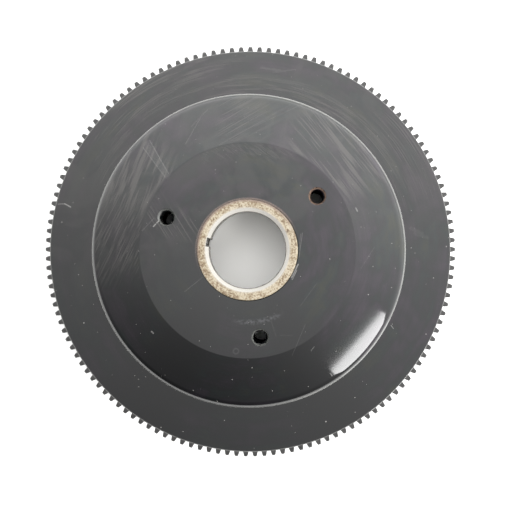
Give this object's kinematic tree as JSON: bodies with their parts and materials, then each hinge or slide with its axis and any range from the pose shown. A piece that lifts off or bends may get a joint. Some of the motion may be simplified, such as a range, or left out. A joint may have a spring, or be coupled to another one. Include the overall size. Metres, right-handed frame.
{
  "type": "engine flywheel",
  "caption": "Magneto flywheel: domed steel cup with a starter ring gear, a taper-bored hub with a keyway, puller holes, and magnets caged inside the wall.",
  "frame": {"origin": "centre of the open rim's rest plane, on the spin axis", "axes": "+Z along the spin axis, out of the closed face where the crankshaft nut sits; +X to the right and +Y up when looking down at that face, with the keyway at 168.9 degrees from +X"},
  "size_m": [0.2206, 0.2206, 0.037],
  "materials": {
    "black_coat": "satin black coating with fine turning marks and scratches",
    "bare_steel": "bare machined steel with light rust",
    "tooth_steel": "dark steel with worn tooth ends",
    "ferrite": "ground ceramic magnet, dull dark grey",
    "stainless": "thin drawn stainless sheet",
    "black_nylon": "moulded glass-filled nylon"
  },
  "bodies": {
    "root": {"rotor_cup": "black_coat", "hub": "bare_steel", "ring_gear": "tooth_steel", "magnet_cage": "black_nylon", "magnet_sleeve": "stainless", "sensor_ring": "black_nylon", "sensor_magnet_a": "ferrite", "sensor_magnet_b": "ferrite", "magnet_01": "ferrite", "magnet_02": "ferrite", "magnet_03": "ferrite", "magnet_04": "ferrite", "magnet_05": "ferrite", "magnet_06": "ferrite", "magnet_07": "ferrite", "magnet_08": "ferrite", "magnet_09": "ferrite", "magnet_10": "ferrite", "magnet_11": "ferrite", "magnet_12": "ferrite"}
  },
  "joints": []
}
